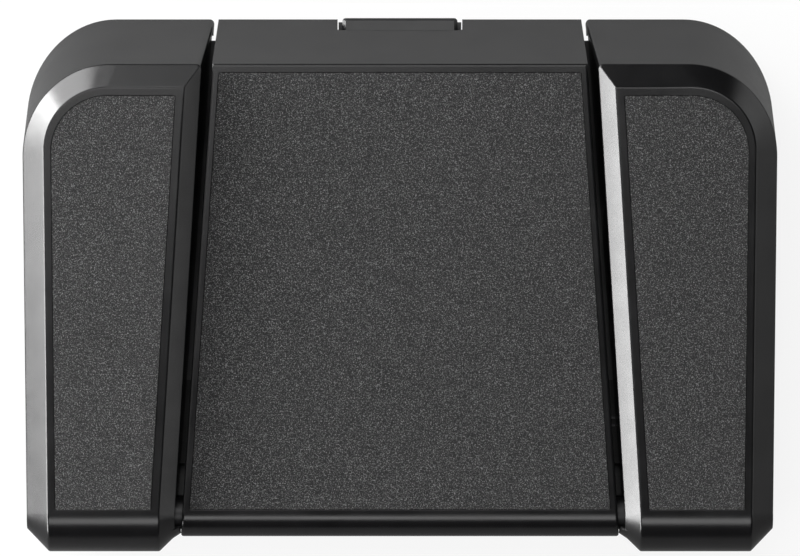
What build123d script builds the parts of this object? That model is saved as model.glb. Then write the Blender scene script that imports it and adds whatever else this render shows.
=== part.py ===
from build123d import *
import os
from math import cos, hypot, pi, radians, sin, tan

os.makedirs("parts", exist_ok=True)

# Frame: +X right, +Y to the rear, +Z up, origin on the floor in the middle of the pedal.
# Lengths are in millimetres and angles in degrees.

# Overall form
slope = 11.5  # tilt of the treads towards the front
hinge_y = -75.7  # hinge line, in the middle of the rounded noses
hinge_z = 19.4
nose_radius = 7.3  # centre tread above the hinge line
tread_step = 4.8  # side treads above the centre tread
outer_taper_share = 0.012  # outer walls draw in towards the front
wall = 3.0
edge_round = 0.8

# Treads, measured along the slope from the hinge line
center_rear = 142.2
plateau_rear = 134.8
rear_lean_share = 0.302  # rear walls run out this much for each length down
skirt_rear_z = 7.4  # lower edge of the rear walls at rest
center_half_rear = 59.4
channel = 3.35  # between the centre pedal and a side pedal, at the rear
side_width = 57.05  # side pedals at the start of the rear corners
side_middle_share = 0.53
center_taper_share = 0.0669
side_taper_share = 0.0599
side_lean_share = 0.043
rear_corner_radius = 28.6
inner_corner_radius = 1.5

# Chamfers round the side plateaus
inner_chamfer_run = 4.95
outer_chamfer_run = 7.0
outer_chamfer_depth = 7.3
plateau_corner_radius = 20.0
corner_limit_share = 0.9  # most of the plateau's width that the corner may take
corner_growth_share = 1.6  # the corner opens out this much for each length down

# Grip pads in their recesses
pad_margin = 2.4
pad_margin_inner = 2.75  # beside the inner chamfers
pad_margin_rear = 2.8
pad_front = 1.4
pad_recess = 1.0
pad_thick = 1.3
pad_corner_radius = 0.4
pad_gap = 0.1

# Travel
travel = 2.0  # degrees from rest to fully pressed
clear = 0.3  # gap between pieces that move against each other
run_fit = 0.05
seat_fit = 0.02
swing_gap = 0.8  # room round what swings

# Base tray with its front lip and rear tab
feet_height = 3.0
tray_thick = 3.0
tray_nose_reach = 2.3  # front edge before the hinge line
tray_rear_inset = 6.7  # rear edge inside the rear walls
tray_inset_front = 7.8
tray_inset_rear = 5.8
tray_corner_front = 8.0
tray_corner_rear = 25.0
lip_thick = 2.0
lip_gap = 2.0  # below the noses
tab_inset = 0.2  # tab's end inside the port block's rear face
overrun = 20.0
overrun_far = 90.0

# Rubber feet
foot_length = 34.0
foot_width = 15.0
foot_round = 5.0
foot_inset = 28.0  # middle of the feet inside the tray's sides
front_foot_inset = 16.0
rear_foot_inset = 19.0

# Hinge: one shaft through four brackets, two bushes in each pedal
shaft_radius = 2.5
shaft_end = 2.3  # shaft beyond its clips
barrel_radius = 5.0
barrel_length = 10.0
outer_barrel_inset = 17.8
neck_depth = 8.0
bracket_foot_length = 16.0
bracket_foot_back = 14.0
bracket_foot_thick = 3.0
screw_hole_radius = 1.5
boss_length = 8.0
boss_wall = 2.3
bush_outer = 3.5
bush_flange = 4.6
bush_flange_thick = 1.0
clip_thick = 0.8
clip_radius = 4.4
clip_groove = 0.5
clip_mouth_share = 0.7

# Switch board and its snap switches
board_thick = 1.6
board_margin = 1.5  # board beyond the outer switches
board_back = 17.7  # front edge behind the hinge line
board_depth = 27.0
spacer_height = 3.0
spacer_radius = 3.0
board_hole_radius = 1.4
board_hole_inset = 3.6
switch_arm = 34.0  # plunger behind the hinge line
switch_length = 20.0
switch_width = 6.4
switch_height = 10.2
plunger_radius = 1.6
plunger_proud = 1.7
plunger_fit = 0.1
plunger_sink = 4.0
actuator_radius = 3.0

# Return springs
spring_y = 12.0
spring_radius = 7.0  # to the middle of the wire
spring_wire = 1.6
spring_turns = 6
spring_top_z = 33.0
seat_radius = 9.8
seat_floor = 1.4
seat_rim = 3.2
seat_pin_radius = 5.4
spigot_radius = 5.4
spigot_length = 5.0
column_radius = 9.6
column_wall = 2.2

# Travel stops: a post through a stirrup under each tread
post_y = 40.0
post_radius = 2.0
post_head_radius = 4.5
post_head_thick = 2.4
stirrup_z = 24.0
stirrup_thick = 3.0
stirrup_half = 10.0
stirrup_depth = 16.0
stirrup_wall = 2.4
stirrup_hole = 3.4
bumper_radius = 6.0
washer_radius = 4.5
washer_thick = 1.2

# Port block with the socket
block_half = 18.5
block_inset = 0.4  # rear face inside the rear walls
block_depth = 27.5
block_top_z = 12.0
block_wall = 1.6
block_chamfer = 1.1
notch_half = 20.05
notch_top_z = 19.0
notch_round = 1.2
port_board_lift = 0.4
port_board_thick = 1.0
port_board_half = 13.0
port_board_depth = 20.0
socket_width = 8.94
socket_height = 3.2
socket_depth = 7.4
socket_sheet = 0.3
tongue_width = 6.7
tongue_thick = 0.7
tongue_back = 2.0
tongue_reach = 4.4

# Lead between the two boards
lead_radius = 1.5
plug_length = 7.5
plug_width = 8.0
plug_height = 4.0
plug_depth = 5.0

# Screws
screw_radius = 1.5
screw_head_radius = 2.8
screw_head_thick = 1.6

# Details of small pieces
web_gap = 0.5  # nose webs beside the centre pedal
web_drop = 1.0  # web's edge inside the centre nose
web_root = 0.8
web_start = 42.0  # degrees round the nose from the treads
inner_skirt_z = 15.0  # lower edge of the walls between pedals
inner_skirt_spread = 5.9
inner_skirt_gap = 1.2  # behind the tray
rib_height = 4.0
rib_thick = 1.8
rib_front = 12.0
rib_end_gap = 12.2
rib_spread = 13.0
bracket_hole_x = 5.2
bracket_hole_back = 10.1
board_mid_hole = 34.0
board_corner = 2.0
block_hole_x = 15.4
block_hole_inset = 3.4
port_board_inset = 6.0
port_hole_x = 9.4
foot_edge = 0.6
screw_socket = 1.0
screw_cross = 0.9
switch_edge = 0.5
chip_x = 34.0
chip_size = 7.0
chip_thick = 1.0
chip_pitch = 0.8
chip_pins = 7
chip_width = 1.2
lead_pin = 0.2
crystal_length = 10.0
crystal_width = 4.0
crystal_height = 3.0
capacitor_radius = 2.5
component_shares = (-0.75, -0.2, 0.65)
capacitor_height = 5.0
header_height = 3.2
header_wall = 0.7
plug_grip = 3.0
lead_x = 6.0
lead_side_x = 20.0
lead_run_x = 25.0
lead_clip_y = 14.0
bend_share = 0.45
clip_width = 4.0
clip_wall = 1.0

# Worked-out sizes
cs = cos(radians(slope))
sn = sin(radians(slope))
hinge = Vector(0, hinge_y, hinge_z)
along = Vector(0, cs, sn)  # up the treads, to the rear
out = Vector(0, -sn, cs)  # square to the treads
deck = Plane(origin=hinge, x_dir=(1, 0, 0), z_dir=out)
side_radius = nose_radius + tread_step
tray_top = feet_height + tray_thick
nose_cut_z = hinge_z - (side_radius - outer_chamfer_depth) * cs
side_inner_rear = center_half_rear + channel
half_width = side_inner_rear + side_width
side_x = side_inner_rear + side_middle_share * side_width
board_z = tray_top + spacer_height
board_top = board_z + board_thick
board_half = side_x + switch_length / 2 + board_margin
board_front_y = hinge_y + board_back
switch_top = board_top + switch_height
drop_share = tan(radians(travel))


def place(x, t, n):
    """Point at x, t up the treads from the hinge line and n square to them."""
    return hinge + Vector(x, 0, 0) + along * t + out * n


def tread_z(y, n):
    """Height at y of the plane that lies n above the hinge line."""
    return hinge_z + (y - hinge_y) * sn / cs + n / cs


def inner_wall_x(t, n):
    """Side pedal's inner wall, leaning to the centre as it goes down."""
    return side_inner_rear - side_taper_share * (t - center_rear) + side_lean_share * (n - nose_radius)


def outer_wall_x(t, n):
    """Side pedal's outer wall, upright and drawing in to the front."""
    y = hinge_y + t * cs - n * sn
    corner_y = -hinge_y - rear_corner_radius / 2
    return half_width - outer_taper_share * (corner_y - y)


def center_wall_x(t):
    """Half of the centre pedal's width."""
    return center_half_rear - center_taper_share * (t - center_rear)


def rear_wall_t(n, inset=0):
    """Rear wall's place up the treads at a height n, moved in by inset."""
    return center_rear + rear_lean_share * (nose_radius - n) - inset * hypot(1, rear_lean_share)


def wall_plane(points, inward, inset):
    """Plane through three points, moved by inset along its normal to the inner side."""
    normal = (points[1] - points[0]).cross(points[2] - points[0]).normalized()
    if normal.dot(inward - points[0]) > 0:
        normal = normal * -1
    return Plane(origin=points[0] - normal * inset, z_dir=normal)


def inner_edge_x(t, depth, inset):
    """Inner chamfer's plane at a depth below the plateau."""
    rise = inner_chamfer_run / tread_step
    top = inner_wall_x(t, nose_radius) + inner_chamfer_run
    return top - rise * depth + inset * hypot(1, rise)


def outer_edge_x(t, depth, inset):
    """Outer chamfer's plane at a depth below the plateau."""
    rise = outer_chamfer_run / outer_chamfer_depth
    top = outer_wall_x(t, 0) - outer_chamfer_run
    return top + rise * depth - inset * hypot(1, rise)


def plateau_outline(depth, inset):
    """Side plateau's outline with its chamfers' slopes, at a depth below it."""
    rise = (center_rear - plateau_rear) / tread_step
    rear = plateau_rear + rise * depth - inset * hypot(1, rise)
    front = -overrun
    radius = plateau_corner_radius + corner_growth_share * depth - inset / 2
    width = outer_edge_x(rear, depth, inset) - inner_edge_x(rear, depth, inset)
    radius = min(radius, corner_limit_share * width)
    with BuildSketch(deck.offset(side_radius - depth)) as outline:
        with BuildLine():
            FilletPolyline(
                (inner_edge_x(front, depth, inset), front), (inner_edge_x(rear, depth, inset), rear),
                (outer_edge_x(rear, depth, inset), rear), (outer_edge_x(front, depth, inset), front),
                radius=[0, 0, radius, 0], close=True)
        make_face()
    return outline.sketch.face()


def plateau_trim(inset):
    """What the chamfers take off round a side plateau moved in by inset."""
    above = edge_round + overrun / 4
    below = outer_chamfer_depth + edge_round + wall
    with BuildPart() as trim:
        with BuildSketch(deck.offset(side_radius - inset - below)):
            Rectangle(2 * half_width + overrun, 2 * center_rear + 2 * overrun)
        extrude(amount=below + above)
        loft([plateau_outline(inset - above, inset), plateau_outline(inset + below, inset)],
             ruled=True, mode=Mode.SUBTRACT)
    return trim.part


def side_form(inset):
    """Right pedal's form, moved in by inset on every side, open-ended downwards."""
    top = side_radius - inset
    deep = -overrun_far
    side_view = Plane(origin=hinge, x_dir=along, z_dir=(1, 0, 0))
    trim = plateau_trim(inset)
    corners = ((0, 0), (center_rear, 0), (0, deep))
    middle = place(side_x, 0, 0)
    inner = wall_plane([place(inner_wall_x(t, n), t, n) for t, n in corners], middle, inset)
    outer = wall_plane([place(outer_wall_x(t, n), t, n) for t, n in corners], middle, inset)
    with BuildPart() as form:
        with BuildSketch(side_view):
            with BuildLine():
                Polyline((0, top), (rear_wall_t(top, inset), top),
                         (rear_wall_t(deep, inset), deep), (0, deep), close=True)
            make_face()
        extrude(amount=half_width + overrun)
        split(bisect_by=inner, keep=Keep.BOTTOM)
        split(bisect_by=outer, keep=Keep.BOTTOM)
        corner = place(outer_wall_x(center_rear, 0), center_rear, 0)
        fillet(form.edges().sort_by_distance(corner)[0], rear_corner_radius - inset)
        add(trim, mode=Mode.SUBTRACT)
        inner_rise = inner_chamfer_run / tread_step
        inner_drop = (inner_chamfer_run + inset * (hypot(1, inner_rise) - 1)) / inner_rise
        outer_rise = outer_chamfer_run / outer_chamfer_depth
        outer_drop = (outer_chamfer_run + inset * (hypot(1, outer_rise) - 1)) / outer_rise
        inner_face = inner_wall_x(0, nose_radius) + inset
        outer_face = outer_wall_x(0, 0) - inset
        with BuildSketch(Plane(origin=hinge, x_dir=(1, 0, 0), z_dir=-along)):
            with BuildLine():
                Polyline((inner_face, 0), (inner_face, side_radius - inner_drop),
                         (inner_edge_x(0, inset, inset), top), (outer_edge_x(0, inset, inset), top),
                         (outer_face, side_radius - outer_drop), (outer_face, 0), close=True)
            make_face()
        revolve(axis=Axis(hinge, (1, 0, 0)), revolution_arc=180)
    return form.part


def rear_wall_y(z, inset=0):
    """Rear wall's place at a height above the floor, moved in by inset."""
    run = center_rear + rear_lean_share * nose_radius - inset * hypot(1, rear_lean_share)
    n = (z - hinge_z - run * sn) / (cs - rear_lean_share * sn)
    t = run - rear_lean_share * n
    return hinge_y + t * cs - n * sn


def center_form(inset):
    """Centre pedal's form, moved in by inset on every side, open-ended downwards."""
    top = nose_radius - inset
    deep = -overrun_far
    side_view = Plane(origin=hinge, x_dir=along, z_dir=(1, 0, 0))
    corners = ((0, 0), (center_rear, 0), (0, deep))
    right = wall_plane([place(center_wall_x(t), t, n) for t, n in corners], hinge, inset)
    left = wall_plane([place(-center_wall_x(t), t, n) for t, n in corners], hinge, inset)
    with BuildPart() as form:
        with BuildSketch(side_view):
            with BuildLine():
                Polyline((0, top), (rear_wall_t(top, inset), top),
                         (rear_wall_t(deep, inset), deep), (0, deep), close=True)
            make_face()
            Circle(top)
        extrude(amount=half_width, both=True)
        split(bisect_by=right, keep=Keep.BOTTOM)
        split(bisect_by=left, keep=Keep.BOTTOM)
    return form.part


def lower_trim():
    """Everything under the pedals' lower edges, with the free space under their inner walls."""
    drop = (nose_cut_z - skirt_rear_z) / (rear_y - hinge_y)
    deep = -overrun_far
    back = rear_y + overrun_far
    front = hinge_y - overrun
    with BuildPart() as trim:
        with BuildSketch(Plane.YZ):
            with BuildLine():
                Polyline((front, deep), (front, nose_cut_z), (hinge_y, nose_cut_z),
                         (back, nose_cut_z - drop * (back - hinge_y)), (back, deep), close=True)
            make_face()
        extrude(amount=half_width + overrun, both=True)
        with BuildSketch(Plane.YZ):
            with BuildLine():
                Polyline((hinge_y, deep), (hinge_y, inner_skirt_z), (inner_skirt_rear, inner_skirt_z),
                         (inner_skirt_rear, deep), close=True)
            make_face()
        extrude(amount=inner_skirt_half, both=True)
    return trim.part


def under_tread(center_x, radius):
    """Bosses that hang under a tread: switch actuator, spring column and stop stirrup."""
    skin = radius - wall / 2
    actuator_y = hinge_y + switch_arm
    actuator_z = switch_top + plunger_proud + clear
    with BuildPart() as bosses:
        with BuildSketch(Plane.XY.offset(actuator_z)):
            with Locations((center_x, actuator_y)):
                Circle(actuator_radius)
        extrude(amount=tread_z(actuator_y, skin) - actuator_z)
        with BuildSketch(Plane.XY.offset(spring_top_z)):
            with Locations((center_x, spring_y)):
                Circle(column_radius)
        extrude(amount=column_wall)
        with BuildSketch(Plane.XY.offset(spring_top_z)):
            with Locations((center_x, spring_y)):
                Rectangle(2 * column_radius, column_wall)
                Rectangle(column_wall, 2 * column_radius)
        extrude(amount=tread_z(spring_y - column_radius, skin) - spring_top_z)
        with BuildSketch(Plane.XY.offset(spring_top_z - spigot_length)):
            with Locations((center_x, spring_y)):
                Circle(spigot_radius)
        extrude(amount=spigot_length)
        with BuildSketch(Plane.XY.offset(stirrup_z)):
            with Locations((center_x, post_y)):
                Rectangle(2 * stirrup_half, stirrup_depth)
                Circle(stirrup_hole, mode=Mode.SUBTRACT)
        extrude(amount=stirrup_thick)
        with BuildSketch(Plane.XY.offset(stirrup_z)):
            for end in (-1, 1):
                with Locations((center_x + end * (stirrup_half - stirrup_wall / 2), post_y)):
                    Rectangle(stirrup_wall, stirrup_depth)
        extrude(amount=tread_z(post_y - stirrup_depth / 2, skin) - stirrup_z)
    return bosses.part


def hinge_plane(x):
    """Plane across the hinge line at x, with its first axis to the rear."""
    return Plane(origin=(x, hinge_y, hinge_z), x_dir=(0, 1, 0), z_dir=(1, 0, 0))


def knuckles(starts, radius):
    """Hinge bosses inside a nose."""
    with BuildPart() as bosses:
        for start in starts:
            with BuildSketch(hinge_plane(start)):
                Circle(boss_radius)
                with Locations((0, (radius - wall / 2) / 2)):
                    Rectangle(bush_flange, radius - wall / 2)
            extrude(amount=boss_length)
    return bosses.part


def bores(starts):
    """Bores of the hinge bosses."""
    with BuildPart() as holes:
        for start in starts:
            with BuildSketch(hinge_plane(start - clear)):
                Circle(bush_outer + seat_fit)
            extrude(amount=boss_length + 2 * clear)
    return holes.part


def ribs(places, radius):
    """Stiffening ribs along the underside of a tread."""
    with BuildPart() as bars:
        with BuildSketch(deck.offset(radius - wall - rib_height)):
            with Locations(*[(x, (rib_front + rib_rear) / 2) for x in places]):
                Rectangle(rib_thick, rib_rear - rib_front)
        extrude(amount=rib_height + wall / 2)
    return bars.part


def barrel_trim():
    """Room in the pedals' walls for the inner hinge brackets."""
    half = barrel_length / 2 + clear + bush_flange_thick
    with BuildPart() as trim:
        for side in (-1, 1):
            start = side * inner_barrel_x - half
            with BuildSketch(hinge_plane(start)):
                Circle(barrel_radius + swing_gap)
                with Locations((0, -overrun / 2)):
                    Rectangle(2 * (barrel_radius + swing_gap), overrun)
            extrude(amount=2 * half)
    return trim.part


def side_pad_outline(gap):
    """Outline of the pad on a side plateau, grown by gap, at the bottom of its recess."""
    rear = plateau_rear - pad_margin_rear + gap
    front = pad_front - gap
    inner = pad_margin_inner - gap
    outer = pad_margin - gap
    corner = plateau_corner_radius - pad_margin + gap
    small = pad_corner_radius + gap
    with BuildSketch(deck.offset(side_radius - pad_recess)) as outline:
        with BuildLine():
            FilletPolyline(
                (inner_edge_x(front, 0, 0) + inner, front), (inner_edge_x(rear, 0, 0) + inner, rear),
                (outer_edge_x(rear, 0, 0) - outer, rear), (outer_edge_x(front, 0, 0) - outer, front),
                radius=[small, small, corner, small], close=True)
        make_face()
    return outline.sketch


def center_pad_outline(gap):
    """Outline of the pad on the centre tread, grown by gap, at the bottom of its recess."""
    rear = center_rear - pad_margin_rear + gap
    front = pad_front - gap
    half_rear = center_wall_x(rear) - pad_margin + gap
    half_front = center_wall_x(front) - pad_margin + gap
    with BuildSketch(deck.offset(nose_radius - pad_recess)) as outline:
        with BuildLine():
            FilletPolyline(
                (-half_front, front), (-half_rear, rear), (half_rear, rear), (half_front, front),
                radius=pad_corner_radius + gap, close=True)
        make_face()
    return outline.sketch


def plateau_edges(shell):
    """Sharp edges along a side plateau's outline."""
    middle_t = center_rear / 2
    corner_t = plateau_rear - plateau_corner_radius / 3
    marks = [
        place(inner_edge_x(middle_t, 0, 0), middle_t, side_radius),
        place(side_x, plateau_rear, side_radius),
        place(outer_edge_x(corner_t, 0, 0) - plateau_corner_radius / 3, corner_t, side_radius),
        place(outer_edge_x(middle_t, 0, 0), middle_t, side_radius)]
    return [shell.edges().sort_by_distance(mark)[0] for mark in marks]


def nose_web():
    """Web round the front of a side nose that closes the channel beside the centre pedal."""
    turn = radians(web_start)
    rearward = along * cos(turn) + out * sin(turn)
    root_x = inner_wall_x(0, nose_radius) + web_root
    tip_x = center_wall_x(0) + web_gap
    root_radius = nose_radius + web_root * tread_step / inner_chamfer_run
    low = barrel_radius + swing_gap
    with BuildPart() as web:
        with BuildSketch(Plane(origin=hinge, x_dir=(1, 0, 0), z_dir=-rearward)):
            with BuildLine():
                Polyline((tip_x, low), (tip_x, nose_radius - web_drop), (root_x, root_radius),
                         (root_x, low), close=True)
            make_face()
        revolve(axis=Axis(hinge, (1, 0, 0)), revolution_arc=180 - web_start)
    return web.part


# Places that follow the pedals' walls
inner_barrel_x = center_wall_x(0) + channel / 2
outer_barrel_x = half_width - outer_barrel_inset
rear_y = rear_wall_y(skirt_rear_z)
tray_front = hinge_y - tray_nose_reach
tray_rear = rear_y - tray_rear_inset
tray_half_front = half_width - tray_inset_front
tray_half_rear = half_width - tray_inset_rear
foot_x = tray_half_front - foot_inset
inner_skirt_half = inner_barrel_x + inner_skirt_spread
inner_skirt_rear = tray_rear + inner_skirt_gap
rib_rear = center_rear - rib_end_gap
block_rear_y = rear_y - block_inset
block_front_y = block_rear_y - block_depth
tab_reach = block_rear_y - tab_inset
port_front_y = block_front_y + port_board_inset
bracket_hole_y = hinge_y + bracket_hole_back

# Pedals
boss_radius = bush_outer + boss_wall
hinge_stack = barrel_length / 2 + clear + bush_flange_thick
center_boss_starts = (-inner_barrel_x + hinge_stack, inner_barrel_x - hinge_stack - boss_length)
side_boss_starts = (inner_barrel_x + hinge_stack, outer_barrel_x - hinge_stack - boss_length)
lower = lower_trim()
barrels = barrel_trim()
side_outer = side_form(0)
side_inner = side_form(wall)
center_outer = center_form(0)
center_inner = center_form(wall)

with BuildPart() as right_pedal_shell:
    add(side_outer)
    low_n = -center_rear / 4
    rear_edge = place(inner_wall_x(center_rear, low_n), rear_wall_t(low_n), low_n)
    fillet(right_pedal_shell.edges().sort_by_distance(rear_edge)[0], inner_corner_radius)
    fillet(plateau_edges(right_pedal_shell), edge_round)
    foot_t = center_rear / 2
    foot_depth = outer_chamfer_depth
    chamfer_foot = place(outer_edge_x(foot_t, foot_depth, 0), foot_t, side_radius - foot_depth)
    fillet(right_pedal_shell.edges().sort_by_distance(chamfer_foot)[0], edge_round)
    add(nose_web())
    add(side_inner, mode=Mode.SUBTRACT)
    add(lower, mode=Mode.SUBTRACT)
    add(barrels, mode=Mode.SUBTRACT)
    add(under_tread(side_x, side_radius))
    add(knuckles(side_boss_starts, side_radius))
    add(bores(side_boss_starts), mode=Mode.SUBTRACT)
    add(ribs((side_x - rib_spread, side_x + rib_spread), side_radius))
    extrude(side_pad_outline(pad_gap), amount=pad_recess + overrun, mode=Mode.SUBTRACT)

with BuildPart() as left_pedal_shell:
    mirror(right_pedal_shell.part, about=Plane.YZ)

with BuildPart() as center_pedal_shell:
    add(center_outer)
    top_face = center_pedal_shell.faces().sort_by_distance(place(0, center_rear / 2, nose_radius))[0]
    fillet(top_face.edges(), edge_round)
    add(center_inner, mode=Mode.SUBTRACT)
    add(lower, mode=Mode.SUBTRACT)
    add(barrels, mode=Mode.SUBTRACT)
    add(under_tread(0, nose_radius))
    add(knuckles(center_boss_starts, nose_radius))
    add(bores(center_boss_starts), mode=Mode.SUBTRACT)
    add(ribs((-2 * rib_spread, 2 * rib_spread), nose_radius))
    extrude(center_pad_outline(pad_gap), amount=pad_recess + overrun, mode=Mode.SUBTRACT)
    notch_low = feet_height - overrun
    with BuildSketch(Plane.XZ.offset(-block_front_y)):
        with Locations((0, (notch_top_z + notch_low) / 2)):
            RectangleRounded(2 * notch_half, notch_top_z - notch_low, notch_round)
    extrude(amount=-2 * overrun, mode=Mode.SUBTRACT)

with BuildPart() as right_grip_pad:
    extrude(side_pad_outline(0), amount=pad_thick)

with BuildPart() as left_grip_pad:
    mirror(right_grip_pad.part, about=Plane.YZ)

with BuildPart() as center_grip_pad:
    extrude(center_pad_outline(0), amount=pad_thick)


def bushes(starts, flange_right):
    """Two flanged bushes, each pressed into its boss from the bracket's side."""
    with BuildPart() as pair:
        for start, outward in zip(starts, flange_right):
            with BuildSketch(hinge_plane(start)):
                Circle(bush_outer)
                Circle(shaft_radius + run_fit, mode=Mode.SUBTRACT)
            extrude(amount=boss_length)
            face = start + boss_length if outward else start - bush_flange_thick
            with BuildSketch(hinge_plane(face)):
                Circle(bush_flange)
                Circle(shaft_radius + run_fit, mode=Mode.SUBTRACT)
            extrude(amount=bush_flange_thick)
    return pair.part


with BuildPart() as right_bushes:
    add(bushes(side_boss_starts, (False, True)))

with BuildPart() as left_bushes:
    mirror(right_bushes.part, about=Plane.YZ)

with BuildPart() as center_bushes:
    add(bushes(center_boss_starts, (False, True)))

# Base tray, with the front lip under the noses and the tab under the port block
tray_screw_spots = [(side * x + end * bracket_hole_x, bracket_hole_y)
                    for side in (-1, 1) for x in (inner_barrel_x, outer_barrel_x) for end in (-1, 1)]
seat_spots = [(x, spring_y) for x in (-side_x, 0, side_x)]
post_spots = [(x, post_y) for x in (-side_x, 0, side_x)]
board_rear_y = board_front_y + board_depth
board_spots = [(x, y) for x in (-board_half + board_hole_inset, -board_mid_hole,
                                board_mid_hole, board_half - board_hole_inset)
               for y in (board_front_y + board_hole_inset, board_rear_y - board_hole_inset)]
block_spots = [(side * block_hole_x, block_front_y + block_hole_inset) for side in (-1, 1)]
port_spots = [(side * port_hole_x, port_front_y + port_board_depth - board_hole_inset)
              for side in (-1, 1)]

with BuildPart() as base_tray:
    with BuildSketch(Plane.XY.offset(feet_height)):
        with BuildLine():
            FilletPolyline(
                (-tray_half_front, tray_front), (tray_half_front, tray_front),
                (tray_half_rear, tray_rear), (-tray_half_rear, tray_rear),
                radius=[tray_corner_front, tray_corner_front, tray_corner_rear, tray_corner_rear],
                close=True)
        make_face()
        with Locations((0, tab_reach / 2)):
            Rectangle(2 * (notch_half - clear), tab_reach)
    extrude(amount=tray_thick)
    with BuildSketch(Plane.XY.offset(tray_top)):
        with Locations((0, tray_front + lip_thick / 2)):
            Rectangle(2 * (tray_half_front - tray_corner_front), lip_thick)
    extrude(amount=nose_cut_z - lip_gap - tray_top)
    with BuildSketch(Plane.XY.offset(feet_height)):
        with Locations(*tray_screw_spots, *seat_spots, *board_spots, *block_spots, *port_spots):
            Circle(screw_radius + seat_fit)
        with Locations(*post_spots):
            Circle(post_radius + seat_fit)
    extrude(amount=tray_thick, mode=Mode.SUBTRACT)
    with Locations(*[(x, y, feet_height) for x, y in tray_screw_spots + seat_spots]):
        Cone(screw_head_radius + seat_fit, screw_radius + seat_fit, screw_head_thick,
             align=(Align.CENTER, Align.CENTER, Align.MIN), mode=Mode.SUBTRACT)


def feet(y):
    """A pair of rubber feet under the tray."""
    with BuildPart() as pair:
        with BuildSketch():
            for side in (-1, 1):
                with Locations((side * foot_x, y)):
                    RectangleRounded(foot_length, foot_width, foot_round)
        extrude(amount=feet_height)
        fillet(pair.faces().sort_by(Axis.Z)[0].edges(), foot_edge)
    return pair.part


with BuildPart() as front_feet:
    add(feet(tray_front + front_foot_inset))

with BuildPart() as rear_feet:
    add(feet(tray_rear - rear_foot_inset))


def bracket(x):
    """Hinge bracket: a foot on the tray, a neck behind the lip and a barrel for the shaft."""
    rear = hinge_y + bracket_foot_back
    front = tray_front + lip_thick + clear
    neck_rear = hinge_y + barrel_radius - clear
    with BuildPart() as body:
        with BuildSketch(Plane(origin=(x - barrel_length / 2, 0, 0), x_dir=(0, 1, 0), z_dir=(1, 0, 0))):
            with BuildLine():
                Polyline((front, tray_top), (rear, tray_top), (rear, tray_top + bracket_foot_thick),
                         (neck_rear + bracket_foot_thick, tray_top + bracket_foot_thick),
                         (neck_rear, tray_top + 2 * bracket_foot_thick), (neck_rear, hinge_z),
                         (front, hinge_z), close=True)
            make_face()
            with Locations((hinge_y, hinge_z)):
                Circle(barrel_radius)
        extrude(amount=barrel_length)
        with BuildSketch(Plane.XY.offset(tray_top)):
            with Locations((x, (front + rear) / 2)):
                Rectangle(bracket_foot_length, rear - front)
        extrude(amount=bracket_foot_thick)
        with BuildSketch(Plane.XY.offset(tray_top)):
            with Locations(*[(x + end * bracket_hole_x, bracket_hole_y) for end in (-1, 1)]):
                Circle(screw_radius + seat_fit)
        extrude(amount=bracket_foot_thick, mode=Mode.SUBTRACT)
        with BuildSketch(hinge_plane(x - barrel_length)):
            Circle(shaft_radius + seat_fit)
        extrude(amount=2 * barrel_length, mode=Mode.SUBTRACT)
    return body.part


brackets = {}
for name, x in (("left_outer_bracket", -outer_barrel_x), ("left_inner_bracket", -inner_barrel_x),
                ("right_inner_bracket", inner_barrel_x), ("right_outer_bracket", outer_barrel_x)):
    brackets[name] = bracket(x)

# Hinge shaft with its two grooves and clips
groove_x = outer_barrel_x + barrel_length / 2 + clear
axis_plane = hinge_plane(0)
with BuildPart() as hinge_shaft:
    with BuildSketch(axis_plane):
        Circle(shaft_radius)
    extrude(amount=groove_x + clip_thick + shaft_end, both=True)
    chamfer(hinge_shaft.edges().filter_by(GeomType.CIRCLE), clip_groove)
    for start in (groove_x, -groove_x - clip_thick):
        with BuildSketch(axis_plane.offset(start)):
            Circle(shaft_radius + clip_groove)
            Circle(shaft_radius - clip_groove, mode=Mode.SUBTRACT)
        extrude(amount=clip_thick, mode=Mode.SUBTRACT)

with BuildPart() as shaft_clips:
    for start in (groove_x + seat_fit, -groove_x - clip_thick + seat_fit):
        with BuildSketch(axis_plane.offset(start)):
            Circle(clip_radius)
            Circle(shaft_radius - clip_groove + seat_fit, mode=Mode.SUBTRACT)
            with Locations((-clip_radius, 0)):
                Rectangle(2 * clip_radius, 2 * shaft_radius * clip_mouth_share, mode=Mode.SUBTRACT)
        extrude(amount=clip_thick - 2 * seat_fit)


def screws(spots, z, length, sunk):
    """Screws down from z, or up into it with sunk heads."""
    with BuildPart() as group:
        for x, y in spots:
            with BuildSketch(Plane.XY.offset(z if sunk else z - length)):
                with Locations((x, y)):
                    Circle(screw_radius)
            extrude(amount=length)
            if sunk:
                with Locations((x, y, z)):
                    Cone(screw_head_radius, screw_radius, screw_head_thick,
                         align=(Align.CENTER, Align.CENTER, Align.MIN))
                socket_plane = Plane.XY.offset(z)
            else:
                with BuildSketch(Plane.XY.offset(z)):
                    with Locations((x, y)):
                        Circle(screw_head_radius)
                extrude(amount=screw_head_thick)
                socket_plane = Plane.XY.offset(z + screw_head_thick - screw_socket)
            with BuildSketch(socket_plane):
                with Locations((x, y)):
                    Rectangle(2 * screw_radius, screw_cross)
                    Rectangle(screw_cross, 2 * screw_radius)
            extrude(amount=screw_socket, mode=Mode.SUBTRACT)
    return group.part


with BuildPart() as tray_screws:
    add(screws(tray_screw_spots + seat_spots, feet_height, tray_thick + bracket_foot_thick - clear, True))


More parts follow.
